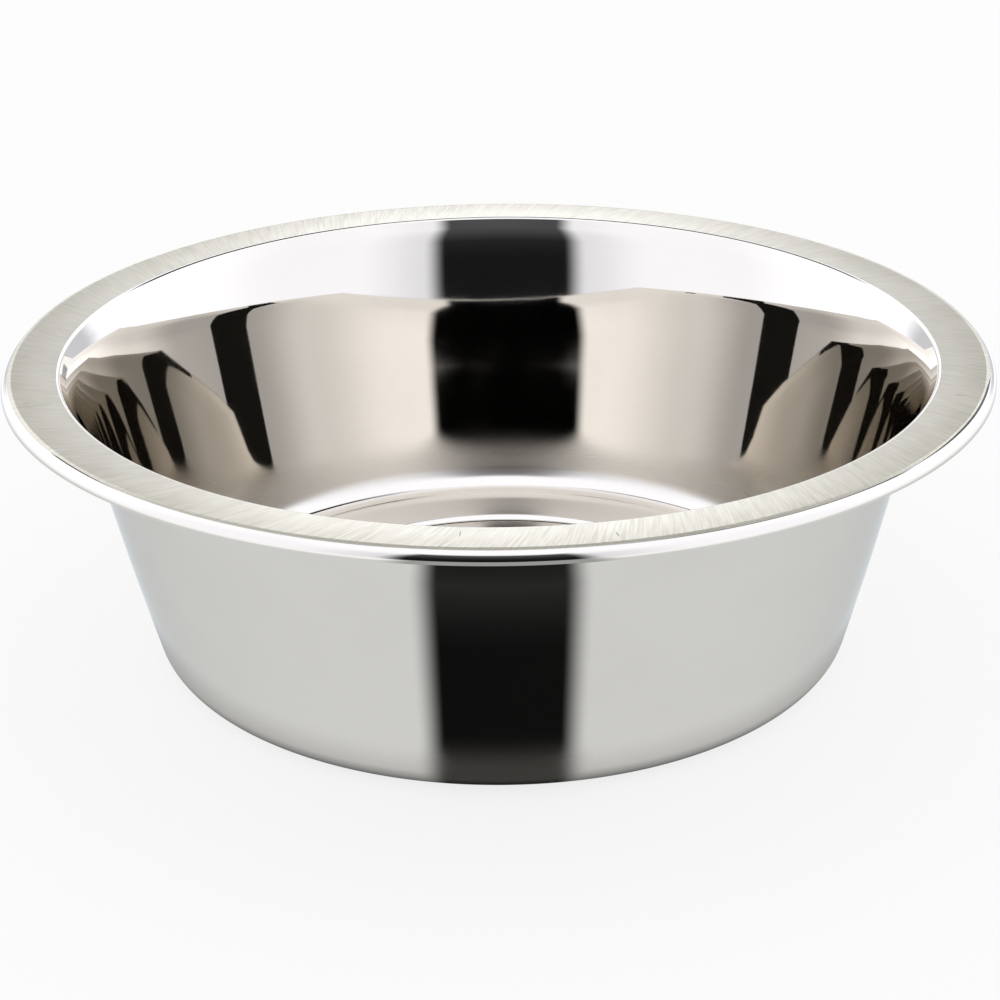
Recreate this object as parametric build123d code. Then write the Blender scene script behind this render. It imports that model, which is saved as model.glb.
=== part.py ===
"""Feeding bowl for a dog, drawn from one disc of stainless steel, in millimetres.

The origin is on the axis, on the surface that the bowl stands on, and +Z is up.
"""

import os
from itertools import pairwise
from math import radians, tan

from build123d import *

# Driving dimensions. A lean is in degrees from upright, and a bend is a radius of the upper face.
height = 85.5  # table to the top of the rim
sheet = 0.5  # thickness of the steel
mouth_diameter = 236.6  # where the shoulder's inner face would meet the rim's top face
rim_width = 15.2  # from there to the outside of the turned down lip
rim_rise = 3.0  # degrees that the rim climbs outwards
lip_radius = 3.0  # outside of the lip that the rim's edge is turned down to
lip_turn = 95.0  # degrees from level to the lip's raw edge
mouth_bend = 1.2  # from rim to shoulder
shoulder_lean = 33.0  # short slope between rim and wall
shoulder_drop = 4.6  # mouth down to the middle of the shoulder's bend
shoulder_bend = 20.0
flare_lean = 20.8  # wall below the shoulder
flare_drop = 7.98  # shoulder's bend down to the middle of the flare's bend
flare_bend = 84.0
wall_lean = 12.6  # upper part of the wall
belly_lean = 14.1  # lower part of the wall
belly_height = 31.5  # table to the middle of the bend between the two parts
belly_bend = 640.0
base_corner = 8.0  # bend from wall to base
base_ledge = 18.0  # flat ring between that corner and the step down to the foot
foot_step = 1.2  # how far the disc inside that ring is pressed down, to stand on
foot_slope = 45.0  # degrees that the step rises from the disc
foot_bend = 1.0  # both turns of the step


def climb(lean, rise):
    """Way up a leaning wall, to this much higher."""
    return Vector(rise * tan(radians(lean)), rise)


def sheet_line(depth):
    """Half section of the surface at this depth in the sheet, from the axis to the lip's edge."""

    def run(through, rise):
        along = Vector(1, 0).rotate(Axis.Z, rise)
        below = Vector(0, -1).rotate(Axis.Z, rise)
        return Axis(through + below * depth, along)

    # where the rim runs into its lip, and the corners of the upper face from the mouth to the step
    base_height = sheet + foot_step
    mouth_radius = mouth_diameter / 2
    lip_centre = Vector(mouth_radius + rim_width - lip_radius, height - lip_radius)
    rim_along = Vector(1, 0).rotate(Axis.Z, rim_rise)
    rim_up = Vector(0, 1).rotate(Axis.Z, rim_rise)
    rim_edge = lip_centre + rim_up * lip_radius
    mouth_edge = rim_edge - rim_along * ((rim_edge.X - mouth_radius) / rim_along.X)
    shoulder_edge = mouth_edge - climb(shoulder_lean, shoulder_drop)
    flare_edge = shoulder_edge - climb(flare_lean, flare_drop)
    belly_edge = flare_edge - climb(wall_lean, flare_edge.Y - belly_height)
    base_edge = belly_edge - climb(belly_lean, belly_height - base_height)
    corner_run = base_corner * tan(radians(90 - belly_lean) / 2)
    step_edge = base_edge - Vector(corner_run + base_ledge, 0)

    runs = [
        run(Vector(0, sheet), 0),
        run(step_edge, foot_slope),
        run(step_edge, 0),
        run(belly_edge, 90 - belly_lean),
        run(flare_edge, 90 - wall_lean),
        run(shoulder_edge, 90 - flare_lean),
        run(mouth_edge, 90 - shoulder_lean),
        run(mouth_edge, rim_rise),
    ]
    corners = [a.intersect(b) for a, b in pairwise(runs)]

    axis_end = Vector(0, sheet - depth)
    rim_end = rim_edge - rim_up * depth
    # a bend that turns up is wider on the sheet's lower face, and one that turns out is tighter
    turned_up = [base_corner + depth, belly_bend + depth]
    turned_out = [flare_bend - depth, shoulder_bend - depth, mouth_bend - depth]
    bends = [foot_bend + depth, foot_bend - depth, *turned_up, *turned_out]
    pressed = FilletPolyline(axis_end, *corners, rim_end, radius=bends)
    lip = JernArc(rim_end, rim_along, lip_radius - depth, -(rim_rise + lip_turn))
    return Wire([*pressed.edges(), *lip.edges()])


def bowl():
    """The sheet between its upper and lower faces, turned about the axis."""
    upper = sheet_line(0)
    lower = sheet_line(sheet)
    ends = [Line(upper @ end, lower @ end) for end in (0, 1)]
    section = make_face([*upper.edges(), *lower.edges(), *ends])
    return revolve(Plane.XZ * section, Axis.Z)


os.makedirs("parts", exist_ok=True)
export_step(bowl(), "parts/bowl.step")
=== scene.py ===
import math
import bpy
import numpy as np
from mathutils import Matrix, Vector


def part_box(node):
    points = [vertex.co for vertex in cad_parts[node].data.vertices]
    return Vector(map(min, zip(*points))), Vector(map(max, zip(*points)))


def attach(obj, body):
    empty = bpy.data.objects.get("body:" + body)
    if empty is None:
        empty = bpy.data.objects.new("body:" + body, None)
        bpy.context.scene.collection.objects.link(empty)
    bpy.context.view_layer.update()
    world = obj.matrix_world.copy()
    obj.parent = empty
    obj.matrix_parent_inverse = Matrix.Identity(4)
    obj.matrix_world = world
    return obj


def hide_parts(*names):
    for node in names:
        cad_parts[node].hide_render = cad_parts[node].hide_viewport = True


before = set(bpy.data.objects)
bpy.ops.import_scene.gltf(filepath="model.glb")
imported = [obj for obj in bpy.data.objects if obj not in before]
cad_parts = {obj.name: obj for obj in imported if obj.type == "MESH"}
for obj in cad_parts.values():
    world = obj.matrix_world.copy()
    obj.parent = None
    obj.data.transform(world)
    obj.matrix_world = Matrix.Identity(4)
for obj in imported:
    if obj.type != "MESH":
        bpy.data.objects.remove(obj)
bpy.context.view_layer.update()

_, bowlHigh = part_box("bowl")
rimRadius = bowlHigh.x
rimHeight = bowlHigh.z


# Small helpers for objects and node trees
def newObject(name, data):
    obj = bpy.data.objects.new(name, data)
    bpy.context.scene.collection.objects.link(obj)
    return obj


def flatSheet(name, corners):
    # one face through four corners
    mesh = bpy.data.meshes.new(name)
    mesh.from_pydata(corners, [], [(0, 1, 2, 3)])
    return newObject(name, mesh)


def newMaterial(name):
    mat = bpy.data.materials.new(name)
    mat.use_nodes = True
    tree = mat.node_tree
    return mat, tree, tree.nodes["Principled BSDF"]


def addNode(tree, kind, inputs=None, **settings):
    # an input that is a socket gets a link, and any other a plain value
    node = tree.nodes.new(kind)
    for key, value in settings.items():
        setattr(node, key, value)
    for key, value in (inputs or {}).items():
        if isinstance(value, bpy.types.NodeSocket):
            tree.links.new(value, node.inputs[key])
        else:
            node.inputs[key].default_value = value
    return node


def maths(tree, operation, a, b=0.0):
    return addNode(tree, "ShaderNodeMath", {0: a, 1: b}, operation=operation).outputs[0]


def times(tree, a, b):
    return maths(tree, "MULTIPLY", a, b)


def vectors(tree, operation, inputs):
    return addNode(tree, "ShaderNodeVectorMath", inputs, operation=operation).outputs[0]


def noise(tree, place, scale, detail):
    return addNode(tree, "ShaderNodeTexNoise", {"Vector": place, "Scale": scale, "Detail": detail}).outputs[0]


def mixValue(tree, share, a, b):
    return addNode(tree, "ShaderNodeMix", {0: share, 2: a, 3: b}, data_type="FLOAT").outputs[0]


def mixColour(tree, share, a, b):
    return addNode(tree, "ShaderNodeMix", {0: share, 6: a, 7: b}, data_type="RGBA").outputs[2]


def softStep(tree, value, start, end, low=0.0, high=1.0):
    # smooth ramp of a value, from low at start to high at end
    node = addNode(tree, "ShaderNodeMapRange", {"Value": value, "From Min": start, "From Max": end,
                                                "To Min": low, "To Max": high},
                   interpolation_type="SMOOTHSTEP")
    return node.outputs["Result"]


def softEdge(tree, value, middle, soft, low=0.0, high=1.0):
    # the same ramp, over this much on both sides of its middle
    return softStep(tree, value, middle - soft, middle + soft, low, high)


def angleOf(tree, across, along):
    # degrees of the angle whose tangent is across over along
    return maths(tree, "DEGREES", maths(tree, "ARCTAN2", across, along))


def awayFrom(tree, value, middle):
    # how far a value is from its middle, either way
    return maths(tree, "ABSOLUTE", maths(tree, "SUBTRACT", value, middle))


def levelLength(tree, x, y):
    # root of x squared and y squared
    return maths(tree, "SQRT", maths(tree, "ADD", times(tree, x, x), times(tree, y, y)))


def objectPlace(tree):
    # the point on the piece, and its x, y and z
    place = addNode(tree, "ShaderNodeTexCoord").outputs["Object"]
    return place, *addNode(tree, "ShaderNodeSeparateXYZ", {0: place}).outputs


# The sheet: one bent line, turned about the axis. Metres, and degrees from upright.
bowlSheet = {
    "sheet": 0.0005,
    "rimWidth": 0.0152,    # from the lip's outside in to where the wall would meet the rim's top
    "rimRise": 3.0,        # degrees that the rim climbs outwards
    "lip": 0.0030,         # outer radius of the turned down edge
    "lipTurn": 95.0,       # how far it is turned
    "mouthBend": 0.0012,
    "shoulderLean": 33.0, "shoulderDrop": 0.0046, "shoulderBend": 0.020,
    "flareLean": 20.8, "flareDrop": 0.00798, "flareBend": 0.084,
    "wallLean": 12.6,
    "bellyLean": 14.1, "bellyHeight": 0.0315, "bellyBend": 0.640,
    "baseCorner": 0.008,
    "ledge": 0.018,        # flat ring between the corner and the foot's step
    "footStep": 0.0012, "footSlope": 45.0, "footBend": 0.001,
    "footShift": 0.0004,   # the drawn foot stands this much off the rim's centre, along x
    "shiftTop": 0.9,       # share of the height at which that has faded out
    "waves": [(3, 0.000006, 0.4), (5, 0.000004, 2.1), (8, 0.000002, 4.0)],  # count, size, start
    "waveRadii": (0.070, 0.119),  # the waves keep to the wall between these
    "around": 384,
    "runRings": [6, 3, 3, 6, 6, 3, 3, 6],
    "bendRings": [6, 6, 20, 8, 14, 8, 10],
    "lipRings": 18,
}


def bentLine(depth, p):
    # Upper face of the section, or the line this deep below it: straight runs that meet at corners,
    # each corner rounded by an arc tangent to both, and a lip turned down at the end.
    def tan(degrees):
        return math.tan(math.radians(degrees))

    base = p["footStep"] + p["sheet"]
    rimRise = math.radians(p["rimRise"])
    lipCentre = np.array([rimRadius - p["lip"], rimHeight - p["lip"]])
    rimEdge = lipCentre + p["lip"] * np.array([-math.sin(rimRise), math.cos(rimRise)])
    mouthR = rimRadius - p["rimWidth"]
    mouthZ = rimEdge[1] - (rimEdge[0] - mouthR) * math.tan(rimRise)
    shoulderZ = mouthZ - p["shoulderDrop"]
    shoulderR = mouthR - p["shoulderDrop"] * tan(p["shoulderLean"])
    flareZ = shoulderZ - p["flareDrop"]
    flareR = shoulderR - p["flareDrop"] * tan(p["flareLean"])
    bellyR = flareR - (flareZ - p["bellyHeight"]) * tan(p["wallLean"])
    baseR = bellyR - (p["bellyHeight"] - base) * tan(p["bellyLean"])
    stepR = baseR - p["baseCorner"] * tan((90 - p["bellyLean"]) / 2) - p["ledge"]
    runs = [((0.0, p["sheet"]), 0.0), ((stepR, base), p["footSlope"]), ((stepR, base), 0.0),
            ((bellyR, p["bellyHeight"]), 90 - p["bellyLean"]), ((flareR, flareZ), 90 - p["wallLean"]),
            ((shoulderR, shoulderZ), 90 - p["flareLean"]), ((mouthR, mouthZ), 90 - p["shoulderLean"]),
            ((mouthR, mouthZ), p["rimRise"])]
    angle = np.radians([a for _, a in runs])
    along = np.stack([np.cos(angle), np.sin(angle)], 1)
    left = np.stack([-np.sin(angle), np.cos(angle)], 1)
    through = np.array([q for q, _ in runs]) - left * depth
    # corner of two runs: the first run's point plus the share of its direction that reaches the second
    cross = along[:-1, 0] * along[1:, 1] - along[:-1, 1] * along[1:, 0]
    gap = through[1:] - through[:-1]
    reach = (gap[:, 0] * along[1:, 1] - gap[:, 1] * along[1:, 0]) / cross
    corners = through[:-1] + along[:-1] * reach[:, None]
    turn = np.diff(angle)
    upper = np.array([p["footBend"], p["footBend"], p["baseCorner"], p["bellyBend"], p["flareBend"],
                      p["shoulderBend"], p["mouthBend"]])
    radius = upper + np.sign(turn) * depth
    tangent = radius * np.tan(np.abs(turn) / 2)
    arcFrom = corners - along[:-1] * tangent[:, None]
    arcTo = corners + along[1:] * tangent[:, None]
    rimEnd = rimEdge - left[-1] * depth
    starts = np.vstack([[0.0, p["sheet"] - depth], arcTo])
    ends = np.vstack([arcFrom, rimEnd])
    points, rises = [], []
    for k, steps in enumerate(p["runRings"]):
        t = np.linspace(0, 1, steps + 1)[:, None]
        points.append(starts[k] + (ends[k] - starts[k]) * t)
        rises.append(np.full(len(t), angle[k]))
        if k < len(turn):
            a = angle[k] + turn[k] * np.linspace(0, 1, p["bendRings"][k] + 1)[1:-1]
            side = np.sign(turn[k]) * radius[k]
            centre = arcFrom[k] + left[k] * side
            points.append(centre + side * np.stack([np.sin(a), -np.cos(a)], 1))
            rises.append(a)
    # the lip: round and down from the rim, to a raw edge
    a = np.linspace(-rimRise, math.radians(p["lipTurn"]), p["lipRings"] + 1)[1:]
    points.append(lipCentre + (p["lip"] - depth) * np.stack([np.sin(a), np.cos(a)], 1))
    rises.append(-a)
    return np.vstack(points), np.concatenate(rises)


def meshFromRings(name, rings, pole, lastPole):
    # quads between neighbouring rings, closed round the axis, and a fan at each pole
    n, m = rings.shape[:2]
    index = np.arange(n * m).reshape(n, m)
    nxt = np.roll(index, -1, 1)
    quads = np.stack([index[:-1], index[1:], nxt[1:], nxt[:-1]], 2).reshape(-1, 4)
    first, last = n * m, n * m + 1
    fanIn = np.stack([np.full(m, first), index[0], nxt[0]], 1)
    fanOut = np.stack([np.full(m, last), nxt[-1], index[-1]], 1)
    verts = np.vstack([rings.reshape(-1, 3), pole, lastPole])
    mesh = bpy.data.meshes.new(name)
    mesh.from_pydata(verts.tolist(), [], quads.tolist() + fanIn.tolist() + fanOut.tolist())
    mesh.update()
    return mesh


def buildBowl(p):
    # Each point of the section (r, z) goes round the axis: x = r sin t, y = -r cos t. The wall is drawn
    # very slightly out of round: along its upper normal, a sum of a few cosines of t, most at mid height.
    upper, upRise = bentLine(0.0, p)
    lower, loRise = bentLine(p["sheet"], p)
    line = np.vstack([upper[1:], lower[:0:-1]])
    rise = np.concatenate([upRise[1:], loRise[:0:-1]])[:, None]
    side = np.concatenate([np.ones(len(upper) - 1), -np.ones(len(lower) - 1)])[:, None]
    t = np.linspace(0, 2 * math.pi, p["around"], endpoint=False)[None, :]
    r, z = line[:, :1], line[:, 1:]
    waveFrom, waveTo = p["waveRadii"]
    reach = np.sin(np.clip(z / rimHeight, 0, 1) * math.pi)
    reach = np.where((r < waveFrom) | (r > waveTo), 0, reach)
    wave = sum(size * np.cos(n * t + start) for n, size, start in p["waves"])
    slope = sum(-n * size * np.sin(n * t + start) for n, size, start in p["waves"])
    bulge = reach * wave
    upR, upZ = -np.sin(rise), np.cos(rise)
    outR = r + bulge * upR
    outZ = z + bulge * upZ
    shiftTop = p["shiftTop"] * rimHeight
    shift = p["footShift"] * (1 - np.clip(outZ / shiftTop, 0, 1))
    rings = np.stack([outR * np.sin(t) + shift, -outR * np.cos(t), outZ], 2)
    # normal of the section, tipped by the slope of the waves round the axis and by the foot's shift
    lean = np.where(z < shiftTop, p["footShift"] / shiftTop, 0)
    tip = reach * slope / r
    nx = upR * np.sin(t) - tip * np.cos(t)
    ny = -upR * np.cos(t) - tip * np.sin(t)
    nz = upZ + lean * nx
    normals = np.stack([nx, ny, nz], 2) * side[:, :, None]
    normals /= np.linalg.norm(normals, axis=2, keepdims=True)
    pole = np.array([p["footShift"], 0, p["sheet"]])
    lastPole = np.array([p["footShift"], 0, 0])
    mesh = meshFromRings("bowlSheet", rings, pole, lastPole)
    allNormals = np.vstack([normals.reshape(-1, 3), [0, 0, 1], [0, 0, -1]])
    mesh.polygons.foreach_set("use_smooth", np.ones(len(mesh.polygons), bool))
    mesh.normals_split_custom_set_from_vertices(allNormals.tolist())
    obj = newObject("bowlSheet", mesh)
    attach(obj, "root")
    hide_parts("bowl")
    return obj


bowl = buildBowl(bowlSheet)
print("bowl sheet:", len(bowl.data.vertices), "points,", len(bowl.data.polygons), "faces")

# Small marks: each has its turn from the front and half its width, in degrees, and its radius from and to
marks = {
    "colour": (0.04, 0.036, 0.03, 1),
    "across": 0.3,          # share of half its width over which a mark fades
    "along": 0.0002,        # and the length over which its ends fade
    "mouth": [(-84.0, 2.2, 0.1166, 0.1176)],
    "mouthRises": (0.079, 0.080),  # the mouth's marks are only above this
    "satin": [(-4.2, 0.06, 0.1215, 0.1245), (11.9, 0.07, 0.1255, 0.1280), (70.6, 0.05, 0.1240, 0.1265),
              (-70.3, 0.03, 0.1220, 0.1300), (-71.5, 0.05, 0.1270, 0.1285)],
    "satinDark": 0.6,
}


def tickMark(tree, turn, radius, middle, half, start, end):
    # 1 on a short line that runs outwards, 0 off it: a ramp across times a ramp at either end
    fade = marks["along"]
    across = softEdge(tree, awayFrom(tree, turn, middle), half, marks["across"] * half, 1.0, 0.0)
    inner = softEdge(tree, radius, start, fade)
    outer = softEdge(tree, radius, end, fade, 1.0, 0.0)
    return times(tree, across, times(tree, inner, outer))


polish = {
    "colour": (0.74, 0.697, 0.625, 1), "rough": 0.022,
    "smudged": (0.715, 0.672, 0.60, 1), "smudgedRough": 0.045,
    "smudges": 24.0, "smudgeDetail": 3.0, "smudgeNoise": (0.4, 0.72), "smudgeShare": 0.7,
    "rings": (30, 30, 4000),  # polishing rings: noise to the metre, along x, y and z
    "ringDetail": 2.0, "ringNoise": (0.35, 0.7), "ringShare": 0.3,
    "dullRough": 0.28, "dullRises": (0.009, 0.022),   # polished less at the foot of the wall
    "baseDull": 0.15, "baseRises": (0.003, 0.006),    # share of that on the base
    "insideEdge": (1, 1, 1, 1), "outsideEdgeShade": (0.8, 0.8, 0.79, 1),  # tint at grazing angles; the outside's darker one is painted shade at the outer wall's edges
    "outsideFacing": -0.01,   # faces whose normal is lower than this are outside
}


def polishedSteel(p, name, edgeTint):
    # mirror polish: its tone is a share of soft smudges plus a share of fine rings left by the polishing wheel
    mat, tree, bsdf = newMaterial(name)
    bsdf.inputs["Metallic"].default_value = 1
    bsdf.inputs["Specular Tint"].default_value = edgeTint
    place, x, y, z = objectPlace(tree)
    radius = levelLength(tree, x, y)
    turn = angleOf(tree, x, times(tree, y, -1.0))
    smudge = softStep(tree, noise(tree, place, p["smudges"], p["smudgeDetail"]), *p["smudgeNoise"])
    flat = vectors(tree, "MULTIPLY", {0: place, 1: p["rings"]})
    rings = softStep(tree, noise(tree, flat, 1.0, p["ringDetail"]), *p["ringNoise"])
    toneShare = maths(tree, "ADD", times(tree, smudge, p["smudgeShare"]), times(tree, rings, p["ringShare"]))
    tone = mixColour(tree, toneShare, p["colour"], p["smudged"])
    for tick in marks["mouth"]:
        mark = times(tree, tickMark(tree, turn, radius, *tick), softStep(tree, z, *marks["mouthRises"]))
        tone = mixColour(tree, mark, tone, marks["colour"])
    rough = softStep(tree, toneShare, 0.0, 1.0, p["rough"], p["smudgedRough"])
    dull = times(tree, softStep(tree, z, *p["dullRises"], p["dullRough"], 0.0),
                 softStep(tree, z, *p["baseRises"], p["baseDull"], 1.0))
    tree.links.new(tone, bsdf.inputs["Base Color"])
    tree.links.new(maths(tree, "ADD", rough, dull), bsdf.inputs["Roughness"])
    return mat


satin = {
    "colour": (0.78, 0.735, 0.60, 1), "dark": (0.56, 0.52, 0.405, 1),
    "rough": 0.34, "dullRough": 0.46, "roughNoise": (0.3, 0.7),
    "stretch": 0.85,        # how much longer the sheen is across the brushed lines
    "lipTilts": (0.5, 5.0), "lipRotation": 0.25,  # over the lip the lines turn by this share of a circle
    "start": 0.1193,        # radius where it starts
    "lipTurn": 24.0,        # degrees of the lip's turn that it covers
    "flatDepth": 0.0009,    # the rim's flat is at most this far below the top
    "skin": 0.0002,         # and the lip's upper face this close to its outside
    "lines": 260.0,         # brushed lines to the radian
    "slant": 2.9,           # radians that a line turns to the metre of radius
    "breaks": 120.0,        # noise to the metre along a line
    "lineDetail": 3.0, "lineShare": 0.7,
    "clouds": 60.0, "cloudDetail": 2.0, "cloudShare": 0.3,
    "wornNoise": (0.25, 0.75), "wornShare": 0.45,
    "outwardShare": 0.55, "outwardEnd": 0.5,  # darker outwards, up to this share of the lip from its outside
    "bump": 0.12, "bumpDepth": 0.0001,
    "paintedDarkLine": 12.0, "darkLineSoft": 2.5,        # degrees of the lip's turn that the painted dark reflection takes up
    "darkLineTaper": (0.02, 0.15),
    "darkLineRight": (43.0, 62.0, 73.0, 79.0),  # turns from the front where it comes, is whole and goes
    "darkLineLeft": (-57.0, -54.0, -51.0, -40.0), "leftShare": 0.6,
}


def satinSteel(p, lip):
    # satin: short lines brushed across the rim, a little slanted, darker towards the lip. The lines are
    # noise on the direction from the axis, which is turned more the further out it is.
    mat, tree, bsdf = newMaterial("satinSteel")
    bsdf.inputs["Metallic"].default_value = 1
    bsdf.inputs["Anisotropic"].default_value = p["stretch"]
    around = addNode(tree, "ShaderNodeTangent", direction_type="RADIAL", axis="Z")
    tree.links.new(around.outputs[0], bsdf.inputs["Tangent"])
    place, x, y, z = objectPlace(tree)
    radius = levelLength(tree, x, y)
    turn = angleOf(tree, x, times(tree, y, -1.0))
    slant = times(tree, maths(tree, "SUBTRACT", radius, p["start"]), p["slant"])
    turned = addNode(tree, "ShaderNodeVectorRotate", {"Vector": place, "Angle": slant},
                     rotation_type="Z_AXIS").outputs[0]
    way = vectors(tree, "NORMALIZE", {0: vectors(tree, "MULTIPLY", {0: turned, 1: (1, 1, 0)})})
    lines = vectors(tree, "SCALE", {0: way, 3: p["lines"]})
    along = addNode(tree, "ShaderNodeCombineXYZ", {2: times(tree, radius, p["breaks"])}).outputs[0]
    brush = noise(tree, vectors(tree, "ADD", {0: lines, 1: along}), 1.0, p["lineDetail"])
    clouds = noise(tree, place, p["clouds"], p["cloudDetail"])
    toneShare = maths(tree, "ADD", times(tree, brush, p["lineShare"]), times(tree, clouds, p["cloudShare"]))
    toneShare = softStep(tree, toneShare, *p["wornNoise"])
    # the tone also darkens outwards, towards the lip
    outward = softStep(tree, radius, p["start"], rimRadius - p["outwardEnd"] * lip)
    toneShare = maths(tree, "ADD", times(tree, toneShare, p["wornShare"]), times(tree, outward, p["outwardShare"]))
    tone = mixColour(tree, toneShare, p["colour"], p["dark"])
    rough = softStep(tree, brush, *p["roughNoise"], p["rough"], p["dullRough"])
    # where the lip starts to turn, a painted dark reflection that tapers off, on both sides of the front
    lipOut = maths(tree, "SUBTRACT", radius, rimRadius - lip)
    tilt = angleOf(tree, lipOut, maths(tree, "SUBTRACT", z, rimHeight - lip))
    rotation = softStep(tree, tilt, *p["lipTilts"], 0.0, p["lipRotation"])
    tree.links.new(rotation, bsdf.inputs["Anisotropic Rotation"])
    right = times(tree, softStep(tree, turn, *p["darkLineRight"][:2]),
                  softStep(tree, turn, *p["darkLineRight"][2:], 1.0, 0.0))
    left = times(tree, softStep(tree, turn, *p["darkLineLeft"][:2]),
                 softStep(tree, turn, *p["darkLineLeft"][2:], p["leftShare"], 0.0))
    taper = maths(tree, "MAXIMUM", right, left)
    darkLineStart = maths(tree, "SUBTRACT", p["lipTurn"], times(tree, taper, p["paintedDarkLine"]))
    past = maths(tree, "SUBTRACT", tilt, darkLineStart)
    paintedDarkLine = times(tree, softStep(tree, past, 0.0, p["darkLineSoft"]), softStep(tree, taper, *p["darkLineTaper"]))
    for tick in marks["satin"]:
        mark = times(tree, tickMark(tree, turn, radius, *tick), marks["satinDark"])
        paintedDarkLine = maths(tree, "MAXIMUM", paintedDarkLine, mark)
    # the painted dark reflection and the small marks both take the marks' dark colour
    tree.links.new(mixColour(tree, paintedDarkLine, tone, marks["colour"]), bsdf.inputs["Base Color"])
    tree.links.new(rough, bsdf.inputs["Roughness"])
    bump = addNode(tree, "ShaderNodeBump", {"Height": brush, "Strength": p["bump"], "Distance": p["bumpDepth"]})
    tree.links.new(bump.outputs[0], bsdf.inputs["Normal"])
    return mat


def finishFaces(obj, mirror, brushed, lip):
    # satin on the rim's flat and over the start of its lip, mirror polish on the rest, inside and outside
    obj.data.materials.append(polishedSteel(mirror, "polishedInside", mirror["insideEdge"]))
    obj.data.materials.append(satinSteel(brushed, lip))
    # the outer wall's copy of the polish differs only by its darker grazing tint, painted shade at its edges
    obj.data.materials.append(polishedSteel(mirror, "polishedOutsideShaded", mirror["outsideEdgeShade"]))
    faces = obj.data.polygons
    centres = np.empty(len(faces) * 3)
    faces.foreach_get("center", centres)
    faceX, faceY, faceZ = centres.reshape(-1, 3).T
    faceR = np.hypot(faceX, faceY)
    dz = faceZ - (rimHeight - lip)
    dr = faceR - (rimRadius - lip)
    flat = (faceR > brushed["start"]) & (faceZ > rimHeight - brushed["flatDepth"]) & (dr < 0)
    turned = np.degrees(np.arctan2(dr, dz))
    lipTop = (dr > 0) & (turned < brushed["lipTurn"]) & (np.hypot(dr, dz) > lip - brushed["skin"])
    facing = np.empty(len(faces) * 3)
    faces.foreach_get("normal", facing)
    outside = facing.reshape(-1, 3)[:, 2] < mirror["outsideFacing"]
    faces.foreach_set("material_index", np.where(outside, 2, flat | lipTop).astype(np.int32))


finishFaces(bowl, polish, satin, bowlSheet["lip"])
print("finishes:", ", ".join(mat.name for mat in bowl.data.materials))

# Studio: soft white light all round, a dark gap towards the lens, a dark bar behind and a dark card ahead.
# Turns and rises in degrees; a turn is from the gap's middle, or from the bar's.
studio = {
    "gapTurn": -2.2, "gapHalf": 21.2, "gapSoft": 3.5,
    "gapTop": 62.0, "gapFade": 14.0, "gapGlow": 0.012,
    "gapHaze": 0.1, "hazeFrom": 15.0,          # the gap is hazier higher up
    "barTurn": 4.5, "barHalf": 46.0, "barSoft": 4.0,
    "barFrom": 28.0, "barBlur": 1.5, "barTop": 73.5, "barFade": 1.5,
    # how dark the bar is in a first reflection, and from where to where
    "barFirst": 1.0, "barFirstFrom": (36.0, 41.0), "barFirstTop": 70.0, "barFirstFade": 8.0,
    "frontGlow": 1.05, "sideTurn": 46.0, "sideGlow": 1.34,
    "topGlow": 1.42, "topRises": (32.0, 66.0),
    "backGlow": 1.55, "backTurns": (70.0, 110.0),
    "backLow": 0.8, "lowTurns": (138.0, 150.0), "lowRises": (8.0, 15.0),  # low down behind
    "deepFront": 0.66, "deepSide": 1.17, "deepBack": 1.7,     # second and later reflections
    "deepSideTurns": (25.0, 62.0), "deepBackTurns": (62.0, 118.0),
    "deepFade": 0.70,                          # third and later ones have this share
    "deepLow": 1.2, "deepRises": (10.0, 20.0),
    "secondDepth": 2.5, "thirdDepth": 3.5,     # a first reflection sees the world at ray depth 2
    "tint": (0.96, 1.0, 1.13, 1),
}


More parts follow.
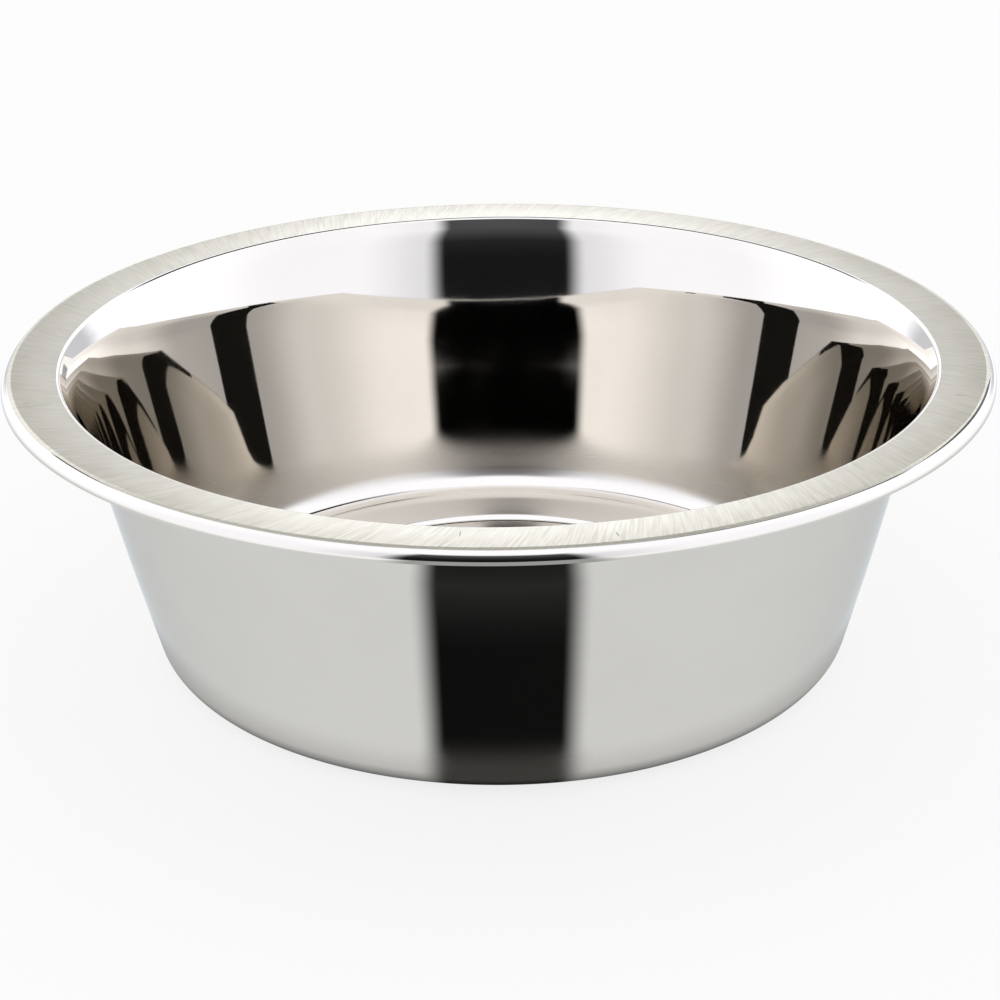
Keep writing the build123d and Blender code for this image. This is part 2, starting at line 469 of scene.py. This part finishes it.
def studioWorld(p):
    # Level by direction: ramps of the turn give the light round the bowl, ramps of the rise lead over to
    # the light from above, and the gap and the bar are cut out of it. Plain white for all but gloss.
    world = bpy.data.worlds.new("studio")
    bpy.context.scene.world = world
    world.use_nodes = True
    tree = world.node_tree
    way = addNode(tree, "ShaderNodeTexCoord").outputs["Generated"]
    x, y, z = addNode(tree, "ShaderNodeSeparateXYZ", {0: way}).outputs
    rise = angleOf(tree, z, levelLength(tree, x, y))
    turn = awayFrom(tree, angleOf(tree, x, times(tree, y, -1.0)), p["gapTurn"])
    barTurn = awayFrom(tree, angleOf(tree, x, y), p["barTurn"])
    path = addNode(tree, "ShaderNodeLightPath").outputs
    shiny = path["Is Glossy Ray"]
    again = maths(tree, "GREATER_THAN", path["Ray Depth"], p["secondDepth"])
    third = maths(tree, "GREATER_THAN", path["Ray Depth"], p["thirdDepth"])
    # the gap is darkest low down, a little hazier higher up and open at its top
    haze = softStep(tree, rise, p["hazeFrom"], p["gapTop"] - p["gapFade"] / 2, p["gapGlow"], p["gapHaze"])
    gapOpen = maths(tree, "MAXIMUM", softEdge(tree, turn, p["gapHalf"], p["gapSoft"]),
                    softStep(tree, rise, p["gapTop"] - p["gapFade"], p["gapTop"]))
    # light in a first reflection: weaker beside the gap, stronger behind, weaker low down behind
    first = softStep(tree, turn, p["gapHalf"], p["sideTurn"], p["frontGlow"], p["sideGlow"])
    behind = softStep(tree, turn, *p["backTurns"], 0.0, p["backGlow"] - p["sideGlow"])
    first = maths(tree, "ADD", first, behind)
    horizon = times(tree, softStep(tree, turn, *p["lowTurns"]), softStep(tree, rise, *p["lowRises"], 1.0, 0.0))
    first = mixValue(tree, horizon, first, p["backLow"])
    # light in later ones: the same way, with more between front and back
    later = softStep(tree, turn, *p["deepSideTurns"], p["deepFront"], p["deepSide"])
    behind = softStep(tree, turn, *p["deepBackTurns"], 0.0, p["deepBack"] - p["deepSide"])
    later = maths(tree, "ADD", later, behind)
    later = times(tree, later, softStep(tree, third, 0.0, 1.0, 1.0, p["deepFade"]))
    later = times(tree, later, softStep(tree, rise, *p["deepRises"], p["deepLow"], 1.0))
    low = mixValue(tree, again, first, later)
    glow = mixValue(tree, softStep(tree, rise, *p["topRises"]), low, p["topGlow"])
    # the gap shows in first reflections only, since the card takes its place in later ones
    gapOpen = maths(tree, "MAXIMUM", gapOpen, again)
    level = mixValue(tree, gapOpen, haze, glow)
    # the bar shows whole in later reflections, and only its upper part in first ones
    barSide = softEdge(tree, barTurn, p["barHalf"], p["barSoft"], 1.0, 0.0)
    barLow = softEdge(tree, rise, p["barFrom"], p["barBlur"])
    barHigh = softEdge(tree, rise, p["barTop"], p["barFade"], 1.0, 0.0)
    bar = times(tree, times(tree, barSide, barLow), barHigh)
    barFirst = times(tree, softEdge(tree, rise, p["barFirstTop"], p["barFirstFade"], p["barFirst"], 0.0),
                     softStep(tree, rise, *p["barFirstFrom"]))
    bar = times(tree, bar, maths(tree, "MAXIMUM", again, barFirst))
    level = times(tree, level, maths(tree, "SUBTRACT", 1.0, bar))
    back = tree.nodes["Background"]
    tree.links.new(mixColour(tree, shiny, (1, 1, 1, 1), p["tint"]), back.inputs["Color"])
    tree.links.new(mixValue(tree, shiny, 1.0, level), back.inputs["Strength"])


studioWorld(studio)

# Dark card before the bowl, which only its second and later reflections show
card = {
    "y": -0.45, "left": -0.145, "right": 0.065, "top": 0.82,
    "glow": 0.012,
    "secondDepth": 1.5,  # a first reflection sees a surface at ray depth 1
}


def darkCard(p):
    # clear up to a ray depth, and nearly black past it
    y, left, right, top = p["y"], p["left"], p["right"], p["top"]
    obj = flatSheet("darkCard", [(left, y, 0), (right, y, 0), (right, y, top), (left, y, top)])
    mat, tree, _ = newMaterial("darkCard")
    depth = addNode(tree, "ShaderNodeLightPath").outputs["Ray Depth"]
    again = maths(tree, "GREATER_THAN", depth, p["secondDepth"])
    clear = addNode(tree, "ShaderNodeBsdfTransparent").outputs[0]
    dark = addNode(tree, "ShaderNodeEmission", {"Strength": p["glow"]}).outputs[0]
    mix = addNode(tree, "ShaderNodeMixShader", {0: again, 1: clear, 2: dark})
    tree.links.new(mix.outputs[0], tree.nodes["Material Output"].inputs["Surface"])
    obj.data.materials.append(mat)
    obj.visible_camera = False
    obj.visible_diffuse = False
    obj.visible_shadow = False


darkCard(card)
print("studio: world and card done")

# Floor: pale sheet. Metal sees it as white, with a painted dark wedge in front that puts a dark strip into the
# outer wall's reflection.
stand = {
    "half": 6.0,
    "pale": 0.9, "glow": 0.8,               # colour of the floor, and the share of it that glows white
    # metal sees the floor with painted shade near the bowl, brighter than white further off
    "near": 0.867, "far": 1.3, "spreadRadii": (0.30, 0.60),
    "contact": 0.15, "contactRadii": (0.088, 0.109),   # shade close to the foot
    "apex": 0.0486, "spread": 21.2, "soft": 4.2,       # the painted dark wedge: its tip before the axis, half angle, blur
    "dark": 0.006,
    "footHaze": 0.022, "footRadii": (0.095, 0.110),    # a little less dark at the foot and further off
    "haze": 0.05, "hazeRadii": (0.140, 0.190),
    "farHaze": 0.45, "farRadii": (0.215, 0.270),
    "tint": (0.95, 1.0, 1.07, 1),
}


def floorPlane(p):
    # What metal sees is a painted level by distance from the axis, shaded near the bowl and brighter than white
    # further off, and in the painted dark wedge the highest of three ramps. All else sees a pale floor that
    # takes the bowl's shadow.
    s = p["half"]
    obj = flatSheet("floor", [(-s, -s, 0), (s, -s, 0), (s, s, 0), (-s, s, 0)])
    mat, tree, bsdf = newMaterial("paleFloor")
    bsdf.inputs["Base Color"].default_value = (p["pale"], p["pale"], p["pale"], 1)
    bsdf.inputs["Roughness"].default_value = 1
    bsdf.inputs["Specular IOR Level"].default_value = 0
    _, x, y, _ = objectPlace(tree)
    radius = levelLength(tree, x, y)
    # painted shade near the bowl and at its foot, brighter than white further off
    spread = softStep(tree, radius, *p["spreadRadii"], p["near"], p["far"])
    shade = softStep(tree, radius, *p["contactRadii"], p["contact"], 1.0)
    white = times(tree, spread, shade)
    # levels inside the painted dark wedge, seen by metal only
    foot = softStep(tree, radius, *p["footRadii"], p["footHaze"], p["dark"])
    haze = softStep(tree, radius, *p["hazeRadii"], p["dark"], p["haze"])
    farOff = softStep(tree, radius, *p["farRadii"], 0.0, p["farHaze"])
    dark = maths(tree, "MAXIMUM", maths(tree, "MAXIMUM", foot, haze), farOff)
    ahead = maths(tree, "SUBTRACT", times(tree, y, -1.0), p["apex"])
    turn = angleOf(tree, maths(tree, "ABSOLUTE", x), ahead)
    level = mixValue(tree, softEdge(tree, turn, p["spread"], p["soft"]), dark, white)
    shiny = addNode(tree, "ShaderNodeLightPath").outputs["Is Glossy Ray"]
    tone = mixColour(tree, shiny, (1, 1, 1, 1), p["tint"])
    strength = mixValue(tree, shiny, 1.0, level)
    glowing = addNode(tree, "ShaderNodeEmission", {"Color": tone, "Strength": strength}).outputs[0]
    share = mixValue(tree, shiny, p["glow"], 1.0)
    mix = addNode(tree, "ShaderNodeMixShader", {0: share, 1: bsdf.outputs[0], 2: glowing})
    tree.links.new(mix.outputs[0], tree.nodes["Material Output"].inputs["Surface"])
    obj.data.materials.append(mat)


floorPlane(stand)
print("floor done")

# Camera: pitch is degrees down from level, and roll degrees about the line of sight
lens = {"place": (0.0, -0.58734, 0.30078), "pitch": 24.056, "roll": -0.604, "mm": 82.40, "sensor": 36}


def placeLens(p):
    # moved to its place, tipped down from level, then rolled
    camData = bpy.data.cameras.new("lens")
    camData.sensor_width = p["sensor"]
    camData.lens = p["mm"]
    cam = newObject("lens", camData)
    tip = Matrix.Rotation(math.radians(90 - p["pitch"]), 4, "X")
    roll = Matrix.Rotation(math.radians(p["roll"]), 4, "Z")
    cam.matrix_world = Matrix.Translation(p["place"]) @ tip @ roll
    bpy.context.scene.camera = cam


placeLens(lens)
reflections = 16  # the wall mirrors itself many times
bpy.context.scene.view_settings.view_transform = "Standard"
bpy.context.scene.cycles.max_bounces = reflections
bpy.context.scene.cycles.glossy_bounces = reflections
print("camera done")
